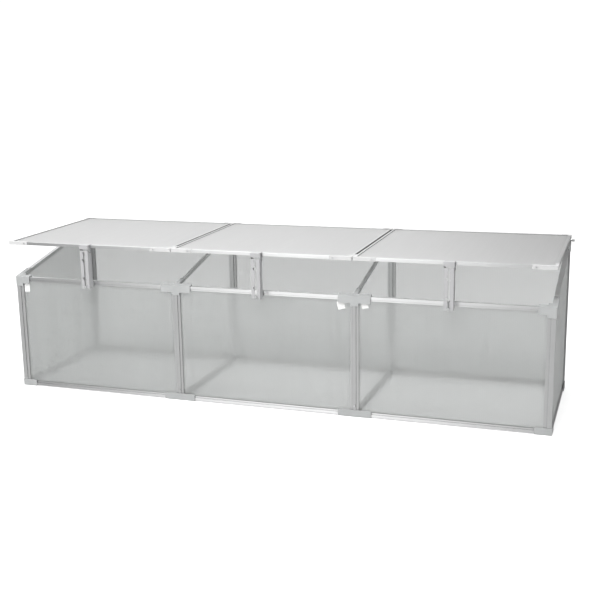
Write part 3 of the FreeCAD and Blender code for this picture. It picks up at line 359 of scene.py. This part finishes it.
def see_through(nodes):
    """Clear for light, frosted for a camera that isn't near.

    Baking reads a ray as short, so an exported sheet is clear as well.
    """
    clear = nodes.add("ShaderNodeBsdfTransparent")
    nodes.put(clear, Color=CLEAR_TINT)
    path = nodes.add("ShaderNodeLightPath")
    far = nodes.math("GREATER_THAN", path.outputs["Ray Length"], NEAR)
    frosted = nodes.add("ShaderNodeBsdfPrincipled")
    nodes.put(frosted, Base_Color=FROST_TINT, Transmission_Weight=1.0)
    nodes.put(frosted, IOR=FROST_IOR, Roughness=FROST_ROUGH)
    nodes.put(frosted, Alpha=nodes.math("MAXIMUM", far, path.outputs["Is Transmission Ray"]))
    return nodes.mix(seen_share(nodes, path), clear.outputs[0], frosted.outputs[0])


def polycarbonate(name, colours, flutes, across, clear, grazing, streaky, ribbed):
    """One face of a twin-wall sheet: see-through head-on, milky at a glancing angle, with faint
    streaks along its flutes and milkier lines along its ribs."""
    nodes = Nodes(bpy.data.materials.new(name))
    streaks = nodes.noise(STREAK, stretched(flutes, 0.006), detail=1.0)
    colour = nodes.tint(nodes.remap(streaks, 0.0, 1.0, start=0.35, end=0.65), colours)
    weight = nodes.add("ShaderNodeLayerWeight")
    nodes.put(weight, Blend=0.5)
    glance = nodes.math("POWER", weight.outputs["Facing"], 1.6)
    opacity = nodes.remap(glance, clear, grazing, start=0.0, end=1.0)
    opacity = nodes.math("ADD", opacity, nodes.remap(streaks, -streaky, streaky, start=0.2, end=0.8))
    opacity = nodes.math("ADD", opacity, nodes.math("MULTIPLY", flute_lines(nodes, across), ribbed))
    milk = milky_face(nodes, colour)
    return nodes.finish(nodes.mix(opacity, see_through(nodes), milk))


def steel(name, colours):
    """Zinc-plated or drawn steel: cloudy plating with tiny scratches."""
    nodes = Nodes(bpy.data.materials.new(name))
    cloud = nodes.noise(CLOUD)
    scratches = nodes.noise(SCRATCH, stretch=(1, 6, 1), detail=2.0)
    metal = nodes.add("ShaderNodeBsdfPrincipled")
    nodes.put(metal, Base_Color=nodes.tint(nodes.remap(cloud, 0.0, 1.0), colours), Metallic=1.0)
    nodes.put(metal, Roughness=nodes.remap(cloud, 0.22, 0.38))
    nodes.put(metal, Normal=nodes.bump(scratches, distance=0.03 * MM, strength=0.5))
    return nodes.finish(metal.outputs[0])


def paper(name, colours):
    """Uncoated paper with fine fibres."""
    nodes = Nodes(bpy.data.materials.new(name))
    fibres = nodes.noise(FIBRE, detail=4.0)
    sheet = nodes.add("ShaderNodeBsdfPrincipled")
    nodes.put(sheet, Base_Color=nodes.tint(nodes.remap(fibres, 0.0, 1.0), colours))
    nodes.put(sheet, Roughness=nodes.remap(fibres, 0.55, 0.7))
    nodes.put(sheet, Normal=nodes.bump(fibres, distance=0.03 * MM, strength=0.4))
    return nodes.finish(sheet.outputs[0])


RAILS_X = aluminium("aluminium_along_x", ALONG_X, METAL)
RAILS_Y = aluminium("aluminium_along_y", ALONG_Y, METAL)
POSTS = aluminium("aluminium_along_z", ALONG_Z, SHADED_POST_METAL, brushed=0.7)
LOW_RAILS_X = aluminium("shaded_aluminium_along_x", ALONG_X, SHADED_BASE_METAL)
LOW_RAILS_Y = aluminium("shaded_aluminium_along_y", ALONG_Y, SHADED_BASE_METAL)
LID_SIDES = aluminium("lid_side_aluminium", ALONG_Y, METAL, seam_shade=painted_lid_seam_shade)
# The stays' long reach paints deep shade inside their channels.
STAYS = aluminium("punched_aluminium", ALONG_Z, STAY_METAL, reach=22 * MM, shine=0.5)
WALL_SHEET = polycarbonate(
    "wall_polycarbonate", WALL_MILK, flutes=ALONG_Z, across=(1, 1, 0),
    clear=0.16, grazing=0.8, streaky=0.03, ribbed=FLUTE_LINES,
)
LID_SHEET = polycarbonate(
    "lid_polycarbonate", LID_MILK, flutes=ALONG_Y, across=ALONG_X,
    clear=0.40, grazing=0.9, streaky=0.008, ribbed=FLUTE_LINES / 4,
)
JOINERS = moulded("joiner_plastic", JOINER_GREY)
CAPS = moulded("cap_plastic", CAP_GREY, rough=0.45)
ZINC = steel("zinc_plated_steel", ZINC_GREY)
ROD = steel("drawn_steel", ROD_GREY)
LABEL = paper("blank_label_paper", LABEL_WHITE)


# ---- CAD parts that keep their shape ----

def dress(node, material):
    """Gives a CAD node one material."""
    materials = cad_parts[node].data.materials
    materials.clear()
    materials.append(material)


def soften(node, material, edge, body):
    """Stands a copy with rounded edges in for a CAD node."""
    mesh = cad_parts[node].data.copy()
    cleaned = bmesh.new()
    cleaned.from_mesh(mesh)
    bmesh.ops.remove_doubles(cleaned, verts=cleaned.verts, dist=SAME_POINT)
    bmesh.ops.dissolve_limit(
        cleaned, angle_limit=FLAT_ANGLE, verts=cleaned.verts, edges=cleaned.edges
    )
    cleaned.to_mesh(mesh)
    cleaned.free()
    piece = bpy.data.objects.new(node + "_edged", mesh)
    bpy.context.scene.collection.objects.link(piece)
    mesh.materials.clear()
    mesh.materials.append(material)
    mesh.shade_smooth()
    mesh.set_sharp_from_angle(angle=SHARP_ANGLE)
    bevel = piece.modifiers.new("edges", "BEVEL")
    bevel.width = edge
    bevel.segments = 2
    bevel.limit_method = "ANGLE"
    bevel.angle_limit = SHARP_ANGLE
    bevel.use_clamp_overlap = True
    bevel.harden_normals = True
    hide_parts(node)
    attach(piece, body)


def dress_frame():
    for bay in BAYS:
        dress("front_base_rail_" + bay, RAILS_X)
        dress("front_top_rail_" + bay, RAILS_X)
        dress("front_panel_" + bay, WALL_SHEET)
    dress("rear_base_rails", LOW_RAILS_X)
    dress("rear_top_rails", RAILS_X)
    dress("rear_panels", WALL_SHEET)
    for end in ENDS:
        dress("side_base_rail_" + end, RAILS_Y)
        dress("side_top_rail_" + end, RAILS_Y)
        dress("side_panel_" + end, WALL_SHEET)
        dress("front_corner_post_" + end, POSTS)
        dress("rear_corner_post_" + end, POSTS)
    dress("front_middle_posts", POSTS)
    dress("rear_middle_posts", POSTS)
    dress("cross_base_rails", LOW_RAILS_Y)
    dress("cross_top_rails", RAILS_Y)
    for node in ("corner_feet", "middle_feet", "front_corner_joiners", "rear_corner_joiners",
                 "front_tee_joiners", "rear_tee_joiners", "hinge_rod_caps", "stay_pegs"):
        soften(node, JOINERS, MOULDED_EDGE, "frame")
    dress("frame_screws", ZINC)
    dress("hinge_rods", ROD)


def dress_lids():
    for bay in BAYS:
        lid, stay = "lid_" + bay, "stay_" + bay
        dress(lid + "_front_rail", RAILS_X)
        dress(lid + "_rear_rail", RAILS_X)
        dress(lid + "_side_rails", LID_SIDES)
        dress(lid + "_panel", LID_SHEET)
        soften(lid + "_corner_caps", CAPS, MOULDED_EDGE, lid)
        soften(lid + "_stay_bracket", STAYS, METAL_EDGE, lid)
        soften(stay + "_bar", STAYS, METAL_EDGE, stay)
        dress(stay + "_rivets", ZINC)


# ---- labels ----

def label_mesh(name, width, height):
    """A small rectangle of many faces, its lower right corner just lifting off."""
    mesh = bpy.data.meshes.new(name)
    grid = bmesh.new()
    points = {}
    for i in range(LABEL_STEPS + 1):
        for j in range(LABEL_STEPS + 1):
            u, v = i / LABEL_STEPS - 0.5, j / LABEL_STEPS - 0.5
            lift = CURL * max(0.0, u - v - CURL_START) ** 2
            points[i, j] = grid.verts.new((u * width, -lift, v * height))
    for i in range(LABEL_STEPS):
        for j in range(LABEL_STEPS):
            corners = ((i, j), (i + 1, j), (i + 1, j + 1), (i, j + 1))
            grid.faces.new([points[corner] for corner in corners])
    grid.to_mesh(mesh)
    grid.free()
    return mesh


def blank_label(name, sheet, across, down, width, height, turn=0.0):
    """A thin blank sticker, centred this far across and down from a front sheet's top left."""
    low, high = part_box(sheet)
    mesh = label_mesh(name, width, height)
    place = Vector((low[0] + across, low[1] - LABEL_GAP, high[2] - down))
    mesh.transform(Matrix.Translation(place) @ Matrix.Rotation(turn, 4, "Y"))
    mesh.materials.append(LABEL)
    label = bpy.data.objects.new(name, mesh)
    bpy.context.scene.collection.objects.link(label)
    thickness = label.modifiers.new("paper", "SOLIDIFY")
    thickness.thickness = LABEL_THICK
    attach(label, "frame")


def add_labels():
    blank_label("label_left", "front_panel_left",
                across=23 * MM, down=29 * MM, width=21 * MM, height=28 * MM)
    blank_label("label_middle", "front_panel_middle", turn=LABEL_TILT,
                across=551 * MM, down=22 * MM, width=24 * MM, height=26 * MM)
    blank_label("label_right", "front_panel_right", turn=LABEL_TILT,
                across=27 * MM, down=20 * MM, width=22 * MM, height=18 * MM)


# ---- studio ----

def add_camera():
    ahead = Vector((-math.sin(CAMERA_TURN) * math.cos(CAMERA_DIP),
                    math.cos(CAMERA_TURN) * math.cos(CAMERA_DIP),
                    -math.sin(CAMERA_DIP)))
    level = Vector((math.cos(CAMERA_TURN), math.sin(CAMERA_TURN), 0))
    upward = level.cross(ahead)
    right = math.cos(CAMERA_ROLL) * level + math.sin(CAMERA_ROLL) * upward
    up = math.cos(CAMERA_ROLL) * upward - math.sin(CAMERA_ROLL) * level
    turn = Matrix((right, up, -ahead)).transposed().to_4x4()
    lens = bpy.data.cameras.new("camera")
    lens.sensor_width = SENSOR
    lens.lens = LENS
    camera = bpy.data.objects.new("camera", lens)
    camera.matrix_world = Matrix.Translation(CAMERA_AT) @ turn
    bpy.context.scene.collection.objects.link(camera)
    bpy.context.scene.camera = camera


def add_softbox():
    """A large lamp above the front, which shiny surfaces don't mirror."""
    lamp = bpy.data.lights.new("top_softbox", "AREA")
    lamp.shape = "RECTANGLE"
    lamp.size, lamp.size_y = SOFTBOX_SIZE
    lamp.energy = SOFTBOX_WATTS
    light = bpy.data.objects.new("top_softbox", lamp)
    light.location = SOFTBOX_AT
    light.rotation_euler = (SOFTBOX_AIM - SOFTBOX_AT).to_track_quat("-Z", "Y").to_euler()
    light.visible_glossy = False
    bpy.context.scene.collection.objects.link(light)


def mirrored_light(nodes, direction):
    """Brightness that metal mirrors: white paper straight ahead, a dim room to both sides."""
    parts = nodes.parts(direction)
    slant = nodes.ease(parts["Y"], 0.0, PAPER_SLANT, *PAPER_TURN)
    slanted = nodes.math("ADD", parts["X"], slant)
    left = nodes.ease(slanted, 0.0, 1.0, *PAPER_LEFT)
    right = nodes.ease(parts["X"], 1.0, 0.0, *PAPER_RIGHT)
    paper_share = nodes.math("MULTIPLY", left, right)
    return nodes.remap(paper_share, ROOM, SWEEP, start=0.0, end=1.0)


def inside_frame(nodes, geometry):
    """1 on the ground between the walls, 0 outside them."""
    front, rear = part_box("front_panel_left")[0][1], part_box("rear_panels")[1][1]
    left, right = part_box("side_panel_left")[0][0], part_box("side_panel_right")[1][0]
    place = nodes.parts(geometry.outputs["Position"])
    across = nodes.within(place["X"], (left + right) / 2, (right - left) / 2)
    deep = nodes.within(place["Y"], (front + rear) / 2, (rear - front) / 2)
    return nodes.math("MULTIPLY", across, deep)


def floor_light(nodes, path, geometry, direction):
    """Light that the floor adds: white to the camera, and painted light, a glow on the ground inside
    the frame seen through its sheets.
    """
    glow = nodes.ease(nodes.parts(direction)["X"], *PAINTED_FLOOR_GLOW, *GLOW_EDGE)
    glow = nodes.math("MULTIPLY", glow, inside_frame(nodes, geometry))
    through = nodes.math("MULTIPLY", path.outputs["Is Transmission Ray"], glow)
    direct = nodes.math("MULTIPLY", path.outputs["Is Camera Ray"], FLOOR_LIFT)
    return nodes.math("MAXIMUM", direct, through)


def floor_material():
    """White with a faint shadow to the camera, the mirrored paper and room to shiny surfaces."""
    nodes = Nodes(bpy.data.materials.new("studio_floor_white"))
    path = nodes.add("ShaderNodeLightPath")
    geometry = nodes.add("ShaderNodeNewGeometry")
    onward = nodes.add("ShaderNodeVectorMath", operation="SCALE")
    nodes.put(onward, Vector=geometry.outputs["Incoming"], Scale=-1.0)
    direction = onward.outputs["Vector"]
    wash = nodes.remap(nodes.noise(WASH, detail=2.0), 0.0, 1.0)
    surface = nodes.add("ShaderNodeBsdfDiffuse")
    nodes.put(surface, Color=nodes.tint(wash, FLOOR_WHITE))
    lift = nodes.add("ShaderNodeEmission")
    nodes.put(lift, Strength=floor_light(nodes, path, geometry, direction))
    seen = nodes.add("ShaderNodeAddShader")
    nodes.feed(seen.inputs, (surface.outputs[0], lift.outputs[0]))
    mirrored = nodes.add("ShaderNodeEmission")
    nodes.put(mirrored, Strength=mirrored_light(nodes, direction))
    return nodes.finish(nodes.mix(mirror_share(nodes, path), seen.outputs[0], mirrored.outputs[0]))


def add_floor():
    """A wide floor just under the feet."""
    mesh = bpy.data.meshes.new("studio_floor")
    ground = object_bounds()[0][2] - FLOOR_DROP
    signs = ((-1, -1), (1, -1), (1, 1), (-1, 1))
    corners = [(x * FLOOR_HALF, y * FLOOR_HALF, ground) for x, y in signs]
    mesh.from_pydata(corners, [], [(0, 1, 2, 3)])
    mesh.materials.append(floor_material())
    floor = bpy.data.objects.new("studio_floor", mesh)
    bpy.context.scene.collection.objects.link(floor)


def background(nodes, brightness):
    """White light of some brightness from all around."""
    node = nodes.add("ShaderNodeBackground")
    nodes.put(node, Color=(1, 1, 1, 1), Strength=brightness)
    return node.outputs[0]


def add_world():
    """White to the camera, a soft dome to dull surfaces, paper and a dim room to shiny ones."""
    nodes = Nodes(bpy.data.worlds.new("studio_world"), "ShaderNodeOutputWorld")
    path = nodes.add("ShaderNodeLightPath")
    direction = nodes.add("ShaderNodeTexCoord").outputs["Generated"]
    height = nodes.parts(direction)["Z"]
    dome = background(nodes, nodes.ease(height, DOME_SIDE, DOME_TOP, 0.0, DOME_RISE))
    mirrored = background(nodes, mirrored_light(nodes, direction))
    through = nodes.math("MULTIPLY", path.outputs["Is Transmission Ray"], THROUGH)
    direct = nodes.math("MULTIPLY", path.outputs["Is Camera Ray"], BACKDROP)
    backdrop = background(nodes, nodes.math("MAXIMUM", direct, through))
    lit = nodes.mix(mirror_share(nodes, path), dome, mirrored)
    bpy.context.scene.world = nodes.finish(nodes.mix(seen_share(nodes, path), lit, backdrop))


def add_studio():
    scene = bpy.context.scene
    scene.view_settings.view_transform = "Standard"
    scene.cycles.max_bounces = BOUNCES
    scene.cycles.transmission_bounces = BOUNCES
    scene.cycles.transparent_max_bounces = CLEAR_BOUNCES
    add_world()
    add_floor()
    add_softbox()
    add_camera()


dress_frame()
dress_lids()
add_labels()
add_studio()
